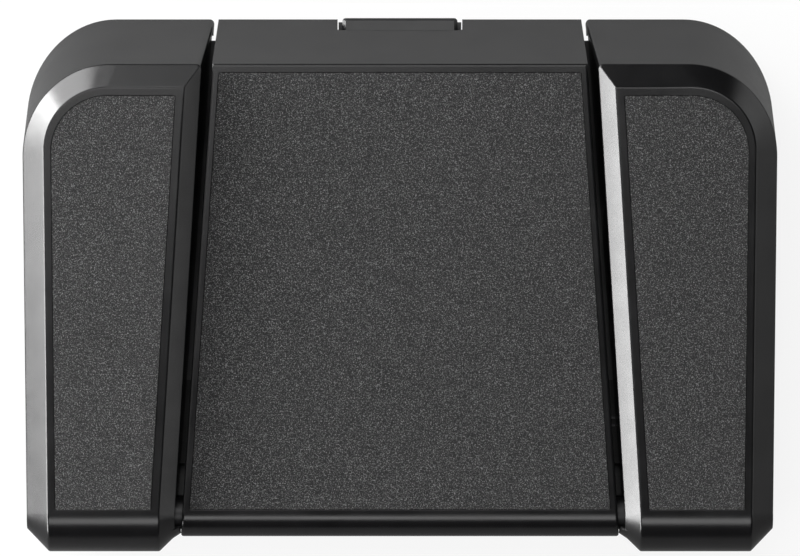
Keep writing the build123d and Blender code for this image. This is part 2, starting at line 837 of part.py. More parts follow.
def spring_seat(x):
    """Cup on the tray that holds the lower end of a spring."""
    with BuildPart() as cup:
        with BuildSketch(Plane.XY.offset(tray_top)):
            with Locations((x, spring_y)):
                Circle(seat_radius)
        extrude(amount=seat_rim)
        with BuildSketch(Plane.XY.offset(tray_top + seat_floor)):
            with Locations((x, spring_y)):
                Circle(seat_radius - seat_floor)
                Circle(seat_pin_radius, mode=Mode.SUBTRACT)
        extrude(amount=seat_rim, mode=Mode.SUBTRACT)
        with BuildSketch(Plane.XY.offset(tray_top)):
            with Locations((x, spring_y)):
                Circle(seat_pin_radius)
        extrude(amount=seat_rim + seat_floor)
        with BuildSketch(Plane.XY.offset(tray_top)):
            with Locations((x, spring_y)):
                Circle(screw_radius + seat_fit)
        extrude(amount=bracket_foot_thick, mode=Mode.SUBTRACT)
    return cup.part


def coil_spring(x):
    """Return spring between its seat and the column under the tread."""
    low = tray_top + seat_floor + spring_wire / 2
    high = spring_top_z - spring_wire / 2
    with BuildPart() as coil:
        with BuildLine():
            turns = Helix(pitch=(high - low) / spring_turns, height=high - low,
                          radius=spring_radius, center=(x, spring_y, low))
        with BuildSketch(Plane(origin=turns @ 0, z_dir=turns % 0)):
            Circle(spring_wire / 2)
        sweep()
    return coil.part


def stop_post(x):
    """Post through a stirrup, its head above the washer."""
    head_z = stirrup_z + stirrup_thick + clear + washer_thick
    with BuildPart() as post:
        with BuildSketch(Plane.XY.offset(feet_height)):
            with Locations((x, post_y)):
                Circle(post_radius)
        extrude(amount=head_z - feet_height)
        with BuildSketch(Plane.XY.offset(head_z)):
            with Locations((x, post_y)):
                Circle(post_head_radius)
        extrude(amount=post_head_thick)
        chamfer(post.faces().sort_by(Axis.Z)[-1].edges(), screw_cross / 2)
        with BuildSketch(Plane.XY.offset(head_z + post_head_thick - screw_socket)):
            with Locations((x, post_y)):
                RegularPolygon(post_radius, 6)
        extrude(amount=screw_socket, mode=Mode.SUBTRACT)
    return post.part


def stop_bumper(x):
    """Rubber sleeve round a post that the stirrup meets when fully pressed."""
    reach = post_y + stirrup_depth / 2 - hinge_y
    top = stirrup_z - reach * drop_share - clear
    with BuildPart() as sleeve:
        with BuildSketch(Plane.XY.offset(tray_top)):
            with Locations((x, post_y)):
                Circle(bumper_radius)
                Circle(post_radius + seat_fit, mode=Mode.SUBTRACT)
        extrude(amount=top - tray_top)
        fillet(sleeve.edges().group_by(Axis.Z)[-1].sort_by(SortBy.LENGTH)[-1], edge_round)
    return sleeve.part


with BuildPart() as stop_washers:
    for x, y in post_spots:
        with BuildSketch(Plane.XY.offset(stirrup_z + stirrup_thick + clear)):
            with Locations((x, y)):
                Circle(washer_radius)
                Circle(post_radius + seat_fit, mode=Mode.SUBTRACT)
        extrude(amount=washer_thick)


def switch_body(x):
    """Snap switch on the board, with the bore of its plunger."""
    y = hinge_y + switch_arm
    with BuildPart() as body:
        with BuildSketch(Plane.XY.offset(board_top)):
            with Locations((x, y)):
                Rectangle(switch_length, switch_width)
        extrude(amount=switch_height)
        chamfer(body.faces().sort_by(Axis.Z)[-1].edges(), switch_edge)
        depth = plunger_sink + switch_arm * drop_share + clear
        with BuildSketch(Plane.XY.offset(switch_top - depth)):
            with Locations((x, y)):
                Circle(plunger_radius + plunger_fit)
        extrude(amount=depth, mode=Mode.SUBTRACT)
        with BuildSketch(Plane.XZ.offset(-y - switch_width / 2)):
            for end in (-1, 1):
                with Locations((x + end * switch_length / 4, board_top + switch_height / 3)):
                    Circle(plunger_radius)
        extrude(amount=switch_width, mode=Mode.SUBTRACT)
    return body.part


def switch_plunger(x):
    """Plunger that the actuator above it pushes in."""
    with BuildPart() as pin:
        with BuildSketch(Plane.XY.offset(switch_top - plunger_sink)):
            with Locations((x, hinge_y + switch_arm)):
                Circle(plunger_radius)
        extrude(amount=plunger_sink + plunger_proud)
        chamfer(pin.faces().sort_by(Axis.Z)[-1].edges(), switch_edge)
    return pin.part


stations = {}
for side, x in (("left", -side_x), ("center", 0), ("right", side_x)):
    stations[side + "_spring_seat"] = spring_seat(x)
    stations[side + "_spring"] = coil_spring(x)
    stations[side + "_stop_post"] = stop_post(x)
    stations[side + "_stop_bumper"] = stop_bumper(x)
    stations[side + "_switch"] = switch_body(x)
    stations[side + "_plunger"] = switch_plunger(x)

# Switch board on its spacers
with BuildPart() as switch_board:
    with BuildSketch(Plane.XY.offset(board_z)):
        with Locations((0, board_front_y + board_depth / 2)):
            RectangleRounded(2 * board_half, board_depth, board_corner)
        with Locations(*board_spots):
            Circle(screw_radius + plunger_fit, mode=Mode.SUBTRACT)
    extrude(amount=board_thick)

with BuildPart() as board_spacers:
    with BuildSketch(Plane.XY.offset(tray_top)):
        with Locations(*board_spots):
            Circle(spacer_radius)
            Circle(screw_radius + plunger_fit, mode=Mode.SUBTRACT)
    extrude(amount=spacer_height)

with BuildPart() as board_screws:
    add(screws(board_spots, board_top, board_thick + spacer_height + tray_thick - clear, False))

chip_y = board_front_y + board_depth / 2
with BuildPart() as controller_chip:
    with BuildSketch(Plane.XY.offset(board_top + lead_pin)):
        with Locations((chip_x, chip_y)):
            Rectangle(chip_size, chip_size)
    extrude(amount=chip_thick)
    chamfer(controller_chip.faces().sort_by(Axis.Z)[-1].edges(), lead_pin)
    with BuildSketch(Plane.XY.offset(board_top)):
        with Locations((chip_x, chip_y)):
            with GridLocations(chip_pitch, chip_size + lead_pin, chip_pins, 2):
                Rectangle(chip_pitch / 2, 4 * lead_pin)
            with GridLocations(chip_size + lead_pin, chip_pitch, 2, chip_pins):
                Rectangle(4 * lead_pin, chip_pitch / 2)
    extrude(amount=2 * lead_pin)

with BuildPart() as board_components:
    with BuildSketch(Plane.XY.offset(board_top)):
        with Locations((chip_x + 2 * chip_size, chip_y)):
            RectangleRounded(crystal_length, crystal_width, crystal_width / 2 - lead_pin)
    extrude(amount=crystal_height)
    with BuildSketch(Plane.XY.offset(board_top)):
        with Locations((chip_x - 2 * chip_size, chip_y)):
            Circle(capacitor_radius)
    extrude(amount=capacitor_height)
    with BuildSketch(Plane.XY.offset(board_top)):
        for place_share in component_shares:
            with Locations((place_share * board_half, chip_y)):
                with GridLocations(2 * chip_width, 2 * chip_width, 3, 2):
                    Rectangle(chip_width, chip_width / 2)
    extrude(amount=chip_width / 2)

# Port block over its small board and the socket
port_rear_y = port_front_y + port_board_depth
port_board_z = tray_top + port_board_lift
port_top = port_board_z + port_board_thick
socket_z = port_top + socket_height / 2

with BuildPart() as port_insulator:
    with BuildSketch(Plane.XY.offset(tray_top)):
        with Locations((0, port_front_y + port_board_depth / 2)):
            Rectangle(2 * port_board_half, port_board_depth)
        with Locations(*port_spots):
            Circle(screw_radius + plunger_fit, mode=Mode.SUBTRACT)
    extrude(amount=port_board_lift)

with BuildPart() as port_board:
    with BuildSketch(Plane.XY.offset(port_board_z)):
        with Locations((0, port_front_y + port_board_depth / 2)):
            Rectangle(2 * port_board_half, port_board_depth)
        with Locations(*port_spots):
            Circle(screw_radius + plunger_fit, mode=Mode.SUBTRACT)
    extrude(amount=port_board_thick)

with BuildPart() as port_board_screws:
    add(screws(port_spots, port_top, port_board_thick + port_board_lift + tray_thick - clear, False))

mouth = Plane(origin=(0, block_rear_y, socket_z), x_dir=(1, 0, 0), z_dir=(0, -1, 0))
with BuildPart() as socket_shell:
    with BuildSketch(mouth):
        RectangleRounded(socket_width, socket_height, socket_height / 2 - socket_sheet)
    extrude(amount=socket_depth)
    with BuildSketch(mouth):
        RectangleRounded(socket_width - 2 * socket_sheet, socket_height - 2 * socket_sheet,
                         socket_height / 2 - 2 * socket_sheet)
    extrude(amount=socket_depth - socket_sheet, mode=Mode.SUBTRACT)

with BuildPart() as socket_tongue:
    back = socket_depth - socket_sheet
    with BuildSketch(mouth.offset(back - tongue_back)):
        RectangleRounded(socket_width - 2 * socket_sheet - 2 * seat_fit,
                         socket_height - 2 * socket_sheet - 2 * seat_fit,
                         socket_height / 2 - 2 * socket_sheet - seat_fit)
    extrude(amount=tongue_back)
    with BuildSketch(mouth.offset(back - tongue_back - tongue_reach)):
        Rectangle(tongue_width, tongue_thick)
    extrude(amount=tongue_reach)

with BuildPart() as port_block:
    with BuildSketch(Plane.XY.offset(tray_top)):
        with Locations((0, block_front_y + block_depth / 2)):
            Rectangle(2 * block_half, block_depth)
    extrude(amount=block_top_z - tray_top)
    upright = port_block.edges().filter_by(Axis.Z).group_by(Axis.Y)[-1]
    fillet(upright, block_chamfer)
    chamfer(port_block.faces().sort_by(Axis.Z)[-1].edges(), block_chamfer)
    roof = block_top_z - port_top - socket_height - plunger_fit
    with BuildSketch(Plane.XY.offset(tray_top)):
        with Locations((0, (port_front_y + block_rear_y - block_wall) / 2)):
            Rectangle(2 * (port_board_half + clear), block_rear_y - block_wall - port_front_y + clear)
    extrude(amount=block_top_z - roof - tray_top, mode=Mode.SUBTRACT)
    with BuildSketch(mouth.offset(-block_wall)):
        RectangleRounded(socket_width + 2 * plunger_fit, socket_height + 2 * plunger_fit,
                         socket_height / 2 - socket_sheet + plunger_fit)
    extrude(amount=2 * block_wall + plunger_fit, mode=Mode.SUBTRACT)
    with BuildSketch(Plane.XY.offset(tray_top)):
        with Locations((lead_x, block_front_y)):
            Rectangle(plug_width + 2 * plunger_fit, 2 * (port_front_y - block_front_y))
    extrude(amount=block_top_z - roof - tray_top, mode=Mode.SUBTRACT)
    with BuildSketch(Plane.XY.offset(tray_top)):
        with Locations(*block_spots):
            Circle(screw_radius + plunger_fit)
    extrude(amount=block_top_z, mode=Mode.SUBTRACT)

with BuildPart() as port_screws:
    add(screws(block_spots, block_top_z, block_top_z - feet_height - clear, False))


def header(x, y, z, toward):
    """Connector on a board, open to the lead on the side that toward names."""
    with BuildPart() as shroud:
        with BuildSketch(Plane.XY.offset(z)):
            with Locations((x, y)):
                Rectangle(plug_width, plug_depth)
        extrude(amount=header_height)
        with BuildSketch(Plane.XY.offset(z + header_wall)):
            with Locations((x, y + toward * header_wall)):
                Rectangle(plug_width - 2 * header_wall, plug_depth)
        extrude(amount=header_height - 2 * header_wall, mode=Mode.SUBTRACT)
    return shroud.part


port_header_y = port_front_y + plug_depth / 2
switch_header_y = board_rear_y - plug_depth / 2
with BuildPart() as board_headers:
    add(header(lead_x, port_header_y, port_top, -1))
    add(header(lead_side_x, switch_header_y, board_top, 1))


def lead_plug(x, y, z, toward):
    """Plug in its header, with the face that the lead leaves from."""
    with BuildPart() as plug:
        length = plug_depth - header_wall - plunger_fit
        with BuildSketch(Plane.XY.offset(z + header_wall + plunger_fit)):
            with Locations((x, y + toward * (header_wall + plunger_fit + length) / 2)):
                Rectangle(plug_width - 2 * header_wall - 2 * plunger_fit, length)
            with Locations((x, y + toward * (plug_depth + plug_grip) / 2)):
                Rectangle(plug_width - 2 * plunger_fit, plug_grip)
        extrude(amount=header_height - 2 * header_wall - 2 * plunger_fit)
    return plug.part


port_plug_y = port_header_y - plug_depth / 2 - plug_grip
switch_plug_y = switch_header_y + plug_depth / 2 + plug_grip
with BuildPart() as lead_plugs:
    add(lead_plug(lead_x, port_header_y, port_top, -1))
    add(lead_plug(lead_side_x, switch_header_y, board_top, 1))

lead_low = tray_top + lead_radius
lead_port_z = port_top + header_height / 2
lead_switch_z = board_top + header_height / 2
lead_points = [
    (lead_x, port_plug_y, lead_port_z), (lead_x, 56, lead_port_z), (16, 42, 8.2),
    (lead_run_x, 26, lead_low), (lead_run_x, 2, lead_low), (23, -10, 9), (20, -20, lead_switch_z),
    (lead_side_x, switch_plug_y, lead_switch_z)]


def bend_radii(points):
    """Radius at each corner: 0.45 of the shorter run over the tangent of half the turn."""
    radii = []
    for before, at, after in zip(points, points[1:], points[2:]):
        run_in = Vector(*at) - Vector(*before)
        run_out = Vector(*after) - Vector(*at)
        half_turn = radians(run_in.get_angle(run_out)) / 2
        radii.append(bend_share * min(run_in.length, run_out.length) / tan(half_turn))
    return radii


lead_bends = bend_radii(lead_points)
print("lead bends", [round(radius, 1) for radius in lead_bends])
with BuildPart() as inner_lead:
    with BuildLine():
        route = FilletPolyline(*lead_points, radius=lead_bends)
    with BuildSketch(Plane(origin=route @ 0, z_dir=route % 0)):
        Circle(lead_radius)
    sweep()
print("lead volume over section times length",
      round(inner_lead.part.volume / (pi * lead_radius ** 2 * route.length), 4))

with BuildPart() as lead_clip:
    with BuildSketch(Plane.XZ.offset(-lead_clip_y - clip_width / 2)):
        with Locations((lead_run_x, lead_low)):
            Circle(lead_radius + clip_wall)
        with Locations((lead_run_x, tray_top + clip_wall / 2)):
            Rectangle(4 * lead_radius + 2 * clip_wall, clip_wall)
        with Locations((lead_run_x, tray_top - lead_radius)):
            Rectangle(4 * lead_radius, 2 * lead_radius, mode=Mode.SUBTRACT)
        with Locations((lead_run_x, lead_low)):
            Circle(lead_radius + seat_fit, mode=Mode.SUBTRACT)
        with Locations((lead_run_x, tray_top + lead_radius / 2)):
            Rectangle(2 * lead_radius + 2 * seat_fit, lead_radius, mode=Mode.SUBTRACT)
    extrude(amount=clip_width)

pieces = {
    "right_pedal_shell": right_pedal_shell, "left_pedal_shell": left_pedal_shell,
    "center_pedal_shell": center_pedal_shell, "right_grip_pad": right_grip_pad,
    "left_grip_pad": left_grip_pad, "center_grip_pad": center_grip_pad,
    "right_bushes": right_bushes, "left_bushes": left_bushes, "center_bushes": center_bushes,
    "base_tray": base_tray, "front_feet": front_feet, "rear_feet": rear_feet,
    "hinge_shaft": hinge_shaft, "shaft_clips": shaft_clips, "tray_screws": tray_screws,
    "stop_washers": stop_washers, "switch_board": switch_board, "board_spacers": board_spacers,
    "board_screws": board_screws, "controller_chip": controller_chip,
    "board_components": board_components, "port_insulator": port_insulator,
    "port_board": port_board, "port_board_screws": port_board_screws,
    "socket_shell": socket_shell, "socket_tongue": socket_tongue, "port_block": port_block,
    "port_screws": port_screws, "board_headers": board_headers, "lead_plugs": lead_plugs,
    "inner_lead": inner_lead, "lead_clip": lead_clip,
}
finished = {name: piece.part for name, piece in pieces.items()}
finished.update(brackets)
finished.update(stations)
for name, shape in finished.items():
    shape.label = name
    export_step(shape, f"parts/{name}.step")
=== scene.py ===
"""Three-pedal foot switch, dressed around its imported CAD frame."""
import logging
import math
from dataclasses import dataclass
from enum import Enum
from typing import Optional, Sequence

import bmesh
import bpy
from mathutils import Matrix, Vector


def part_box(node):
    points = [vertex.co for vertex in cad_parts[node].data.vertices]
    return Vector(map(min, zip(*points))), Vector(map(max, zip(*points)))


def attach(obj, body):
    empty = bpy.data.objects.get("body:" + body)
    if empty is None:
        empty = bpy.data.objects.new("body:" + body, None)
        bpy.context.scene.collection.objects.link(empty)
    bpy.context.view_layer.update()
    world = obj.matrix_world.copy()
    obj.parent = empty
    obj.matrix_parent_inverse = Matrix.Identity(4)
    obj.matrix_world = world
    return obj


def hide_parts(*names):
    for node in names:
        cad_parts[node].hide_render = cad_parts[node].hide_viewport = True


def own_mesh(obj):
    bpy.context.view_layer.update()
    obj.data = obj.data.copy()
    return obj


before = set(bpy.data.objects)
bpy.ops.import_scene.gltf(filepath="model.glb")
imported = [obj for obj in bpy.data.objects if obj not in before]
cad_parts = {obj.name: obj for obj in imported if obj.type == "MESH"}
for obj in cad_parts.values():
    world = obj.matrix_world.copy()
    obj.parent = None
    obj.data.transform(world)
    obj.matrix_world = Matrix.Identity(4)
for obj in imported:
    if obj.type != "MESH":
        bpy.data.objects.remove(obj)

log = logging.getLogger("foot_switch")

Colour = tuple[float, float, float]
Point = tuple[float, float, float]
Span = tuple[float, float]

MM = 0.001
PHOTO_WIDTH = 800
SENSOR_MM = 36.0


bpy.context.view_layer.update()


def scaled(colour: Colour, factor: float) -> Colour:
    """Multiply a colour's channels."""
    return tuple(channel * factor for channel in colour)


class Side(Enum):
    """The three pedals, by the word that starts their nodes' names."""

    LEFT = "left"
    CENTER = "center"
    RIGHT = "right"

    def node(self, piece: str) -> str:
        """Name of one of this pedal's nodes."""
        return f"{self.value}_{piece}"


class Shader:
    """A material's node tree, with short calls for the nodes that the finishes use."""

    BEVEL_SAMPLES = 6

    def __init__(self, name: str) -> None:
        """Start a material with a Principled shader.

        Args:
            name: the material's name.
        """
        self.material = bpy.data.materials.new(name)
        self.material.use_nodes = True
        self.tree = self.material.node_tree
        self.surface = self.tree.nodes["Principled BSDF"]
        self.place = self.tree.nodes.new("ShaderNodeTexCoord").outputs["Object"]

    def link(self, source: bpy.types.NodeSocket, target: bpy.types.NodeSocket) -> None:
        """Join two sockets."""
        self.tree.links.new(source, target)

    def stretched(self, scale: Point) -> bpy.types.NodeSocket:
        """Object coordinates stretched by a factor along each axis.

        Args:
            scale: factor along X, Y and Z.

        Returns:
            The stretched coordinates.
        """
        mapping = self.tree.nodes.new("ShaderNodeMapping")
        mapping.inputs["Scale"].default_value = scale
        self.link(self.place, mapping.inputs["Vector"])
        return mapping.outputs["Vector"]

    def noise(self, size: float, detail: float, rough: float = 0.5,
              place: Optional[bpy.types.NodeSocket] = None) -> bpy.types.NodeSocket:
        """Noise whose blobs are about a given size.

        Args:
            size: size of the blobs, in metres.
            detail: how many finer layers it has.
            rough: how strong the finer layers are.
            place: coordinates, or None for the object's own.

        Returns:
            The noise's value.
        """
        node = self.tree.nodes.new("ShaderNodeTexNoise")
        node.inputs["Scale"].default_value = 1 / size
        node.inputs["Detail"].default_value = detail
        node.inputs["Roughness"].default_value = rough
        self.link(place or self.place, node.inputs["Vector"])
        return node.outputs["Fac"]

    def cells(self, size: float, feature: str = "F1",
              place: Optional[bpy.types.NodeSocket] = None) -> bpy.types.NodeSocket:
        """Distance in a cell pattern of a given cell size.

        Args:
            size: size of the cells, in metres.
            feature: which distance of the Voronoi node.
            place: coordinates, or None for the object's own.

        Returns:
            The distance.
        """
        node = self.tree.nodes.new("ShaderNodeTexVoronoi")
        node.feature = feature
        node.inputs["Scale"].default_value = 1 / size
        self.link(place or self.place, node.inputs["Vector"])
        return node.outputs["Distance"]

    def ramp(self, value: bpy.types.NodeSocket, low: float, high: float,
             to_low: float = 0.0, to_high: float = 1.0) -> bpy.types.NodeSocket:
        """Map a value's range to another range, held at its ends.

        Args:
            value: the value to map.
            low: value that becomes to_low.
            high: value that becomes to_high.
            to_low: result at the low end.
            to_high: result at the high end.

        Returns:
            The mapped value.
        """
        node = self.tree.nodes.new("ShaderNodeMapRange")
        ends = {"From Min": low, "From Max": high, "To Min": to_low, "To Max": to_high}
        for name, number in ends.items():
            node.inputs[name].default_value = number
        self.link(value, node.inputs["Value"])
        return node.outputs["Result"]

    def less(self, whole: bpy.types.NodeSocket, part: bpy.types.NodeSocket,
             share: float) -> bpy.types.NodeSocket:
        """Take a share of one value off another.

        Args:
            whole: the value to take from.
            part: the value whose share is taken off.
            share: how much of it is taken.

        Returns:
            The difference.
        """
        portion = self.tree.nodes.new("ShaderNodeMath")
        portion.operation = "MULTIPLY"
        portion.inputs[1].default_value = share
        self.link(part, portion.inputs[0])
        rest = self.tree.nodes.new("ShaderNodeMath")
        rest.operation = "SUBTRACT"
        self.link(whole, rest.inputs[0])
        self.link(portion.outputs[0], rest.inputs[1])
        return rest.outputs[0]

    def blend(self, fac: bpy.types.NodeSocket, first: Colour,
              second: Colour) -> bpy.types.NodeSocket:
        """Blend two colours.

        Args:
            fac: 0 for the first colour, 1 for the second.
            first: first colour.
            second: second colour.

        Returns:
            The blended colour.
        """
        node = self.tree.nodes.new("ShaderNodeMix")
        node.data_type = "RGBA"
        node.inputs["A"].default_value = (*first, 1)
        node.inputs["B"].default_value = (*second, 1)
        self.link(fac, node.inputs["Factor"])
        return node.outputs["Result"]

    def bump(self, height: bpy.types.NodeSocket, distance: float) -> None:
        """Add a bump, under which the normal so far is kept.

        Args:
            height: height from 0 to 1.
            distance: height of 1, in metres.
        """
        node = self.tree.nodes.new("ShaderNodeBump")
        node.inputs["Distance"].default_value = distance
        self.link(height, node.inputs["Height"])
        normal = self.surface.inputs["Normal"]
        if normal.is_linked:
            self.link(normal.links[0].from_socket, node.inputs["Normal"])
        self.link(node.outputs["Normal"], normal)

    def soften(self, radius: float) -> None:
        """Round the edges in the shading, before any bump.

        Args:
            radius: radius of the rounding, in metres.
        """
        node = self.tree.nodes.new("ShaderNodeBevel")
        node.samples = self.BEVEL_SAMPLES
        node.inputs["Radius"].default_value = radius
        self.link(node.outputs["Normal"], self.surface.inputs["Normal"])

    def set(self, **values: float) -> None:
        """Set constant inputs of the surface.

        Args:
            values: numbers by the inputs' names, with underscores for their spaces.
        """
        for name, value in values.items():
            self.surface.inputs[name.replace("_", " ")].default_value = value

    def feed(self, name: str, source: bpy.types.NodeSocket) -> None:
        """Drive one of the surface's inputs."""
        self.link(source, self.surface.inputs[name])


@dataclass(frozen=True)
class Moulding:
    """Moulded plastic with a fine spark-eroded texture.

    Attributes:
        name: the material's name.
        colour: its darker colour.
        tint: how much lighter its lighter colour is.
        rough_low: roughness of its shiniest places.
        rough_high: roughness of its dullest places.
        grain: size of the texture's grains.
        relief: height of the texture.
        specular: strength of its reflections.
        edge: rounding of the edges in the shading, or 0 for none.
        cloud: size of the patches of colour.
        cloud_span: part of the noise over which the colour changes.
        wear: size of the patches of gloss.
        wear_span: part of the noise over which the gloss changes.
    """

    name: str
    colour: Colour
    tint: float = 1.35
    rough_low: float = 0.19
    rough_high: float = 0.26
    grain: float = 0.35 * MM
    relief: float = 0.006 * MM
    specular: float = 0.5
    edge: float = 0.0
    cloud: float = 9 * MM
    cloud_span: Span = (0.35, 0.65)
    wear: float = 14 * MM
    wear_span: Span = (0.3, 0.7)

    def make(self) -> bpy.types.Material:
        """Build the material.

        Returns:
            The material.
        """
        shader = Shader(self.name)
        patches = shader.ramp(shader.noise(self.cloud, detail=3), *self.cloud_span)
        lighter = scaled(self.colour, self.tint)
        shader.feed("Base Color", shader.blend(patches, self.colour, lighter))
        gloss = shader.noise(self.wear, detail=5, rough=0.65)
        shader.feed("Roughness", shader.ramp(gloss, *self.wear_span,
                                             self.rough_low, self.rough_high))
        shader.set(Specular_IOR_Level=self.specular)
        if self.edge:
            shader.soften(self.edge)
        shader.bump(shader.noise(self.grain, detail=1), self.relief)
        return shader.material


@dataclass(frozen=True)
class Grit:
    """Coarse non-slip grain of the grip pads, coloured by height with painted shade in the
    valleys and painted highlights on the tips.

    Attributes:
        name: the material's name.
        shaded_valley: colour between the grains, darkened there as painted shade.
        lit_tip: colour of the grains' tips, lightened there as painted highlight.
        grain: size of the grains.
        fine: size of the crumbs that break the grains up.
        relief: height of the grain.
        rough: roughness.
        specular: strength of its reflections.
        lump_span: part of the noise over which a grain rises.
        crumb_share: how deep the crumbs cut into the grains.
        colour_span: part of the height over which the colour turns from painted shade to
            painted highlight.
    """

    name: str
    shaded_valley: Colour = (0.0026, 0.0026, 0.0027)
    lit_tip: Colour = (0.25, 0.25, 0.253)
    grain: float = 0.40 * MM
    fine: float = 0.30 * MM
    relief: float = 0.15 * MM
    rough: float = 0.72
    specular: float = 0.4
    lump_span: Span = (0.3, 0.7)
    crumb_share: float = 0.55
    colour_span: Span = (0.26, 0.76)

    def make(self) -> bpy.types.Material:
        """Build the material.

        Returns:
            The material.
        """
        shader = Shader(self.name)
        lumps = shader.ramp(shader.noise(self.grain, detail=3, rough=0.75), *self.lump_span)
        height = shader.less(lumps, shader.cells(self.fine), self.crumb_share)
        # The colour follows the grain's height: painted shade in the valleys, painted
        # highlight on the tips.
        lit_tips = shader.ramp(height, *self.colour_span)
        shader.feed("Base Color", shader.blend(lit_tips, self.shaded_valley, self.lit_tip))
        shader.set(Roughness=self.rough, Specular_IOR_Level=self.specular)
        shader.bump(height, self.relief)
        return shader.material


@dataclass(frozen=True)
class Coating:
    """Powder coat on sheet steel, with its orange peel.

    Attributes:
        name: the material's name.
        colour: its darker colour.
        tint: how much lighter its lighter colour is.
        peel: size of the orange peel.
        relief: height of the orange peel.
        rough_low: roughness of its shiniest places.
        rough_high: roughness of its dullest places.
        dust: size of the patches of colour and gloss.
        tint_span: part of the noise over which the colour changes.
        gloss_span: part of the noise over which the gloss changes.
    """

    name: str
    colour: Colour
    tint: float = 1.5
    peel: float = 0.9 * MM
    relief: float = 0.03 * MM
    rough_low: float = 0.39
    rough_high: float = 0.53
    dust: float = 30 * MM
    tint_span: Span = (0.4, 0.7)
    gloss_span: Span = (0.3, 0.7)

    def make(self) -> bpy.types.Material:
        """Build the material.

        Returns:
            The material.
        """
        shader = Shader(self.name)
        patches = shader.noise(self.dust, detail=4)
        lighter = scaled(self.colour, self.tint)
        shader.feed("Base Color", shader.blend(shader.ramp(patches, *self.tint_span),
                                               self.colour, lighter))
        shader.feed("Roughness", shader.ramp(patches, *self.gloss_span,
                                             self.rough_low, self.rough_high))
        shader.bump(shader.noise(self.peel, detail=2), self.relief)
        return shader.material


@dataclass(frozen=True)
class Rubber:
    """Soft rubber with a dusty bloom.

    Attributes:
        name: the material's name.
        colour: clean rubber.
        bloom: colour of the bloom.
        patch: size of the bloom's patches.
        patch_span: part of the noise over which the bloom sets in.
        grain: size of the skin's grain.
        relief: height of the skin's grain.
        rough: roughness.
    """

    name: str
    colour: Colour = (0.02, 0.02, 0.02)
    bloom: Colour = (0.05, 0.05, 0.048)
    patch: float = 5 * MM
    patch_span: Span = (0.45, 0.75)
    grain: float = 0.25 * MM
    relief: float = 0.02 * MM
    rough: float = 0.8

    def make(self) -> bpy.types.Material:
        """Build the material.

        Returns:
            The material.
        """
        shader = Shader(self.name)
        patches = shader.ramp(shader.noise(self.patch, detail=5, rough=0.7), *self.patch_span)
        shader.feed("Base Color", shader.blend(patches, self.colour, self.bloom))
        shader.set(Roughness=self.rough)
        shader.bump(shader.noise(self.grain, detail=2), self.relief)
        return shader.material


@dataclass(frozen=True)
class Metal:
    """Bare or plated metal, with marks drawn out along one axis.

    Attributes:
        name: the material's name.
        colour: its lighter colour.
        rough_low: roughness of its shiniest places.
        rough_high: roughness of its dullest places.
        stretch: how closely the marks follow each other along X, Y and Z.
        mark: size of the marks.
        relief: depth of the marks.
        shade: how much of the colour the darker places keep.
        mark_span: part of the noise over which a mark deepens.
    """

    name: str
    colour: Colour
    rough_low: float
    rough_high: float
    stretch: Point = (1.0, 1.0, 1.0)
    mark: float = 0.6 * MM
    relief: float = 0.008 * MM
    shade: float = 0.82
    mark_span: Span = (0.3, 0.7)

    def make(self) -> bpy.types.Material:
        """Build the material.

        Returns:
            The material.
        """
        shader = Shader(self.name)
        place = shader.stretched(self.stretch)
        marks = shader.noise(self.mark, detail=4, rough=0.6, place=place)
        darker = scaled(self.colour, self.shade)
        shader.feed("Base Color", shader.blend(shader.ramp(marks, *self.mark_span),
                                               darker, self.colour))
        shader.feed("Roughness", shader.ramp(marks, *self.mark_span,
                                             self.rough_low, self.rough_high))
        shader.set(Metallic=1.0)
        shader.bump(marks, self.relief)
        return shader.material


@dataclass(frozen=True)
class Laminate:
    """Circuit board under solder mask, with its tracks standing proud.

    Attributes:
        name: the material's name.
        mask: colour of the bare laminate under the mask.
        track: colour over the tracks.
        pitch: size of the fields between the tracks.
        stretch: how closely the fields follow each other along X, Y and Z.
        track_span: distance from a track's middle over which it ends, in pitches.
        relief: height of the tracks.
        rough: roughness.
        specular: strength of its reflections.
    """

    name: str
    mask: Colour = (0.0045, 0.005, 0.005)
    track: Colour = (0.0075, 0.0085, 0.0085)
    pitch: float = 5.2 * MM
    stretch: Point = (1.0, 2.2, 1.0)
    track_span: Span = (0.02, 0.06)
    relief: float = 0.03 * MM
    rough: float = 0.5
    specular: float = 0.3

    def make(self) -> bpy.types.Material:
        """Build the material.

        Returns:
            The material.
        """
        shader = Shader(self.name)
        place = shader.stretched(self.stretch)
        maze = shader.cells(self.pitch, "DISTANCE_TO_EDGE", place)
        lines = shader.ramp(maze, *self.track_span, to_low=1.0, to_high=0.0)
        shader.feed("Base Color", shader.blend(lines, self.mask, self.track))
        shader.set(Roughness=self.rough, Specular_IOR_Level=self.specular)
        shader.bump(lines, self.relief)
        return shader.material


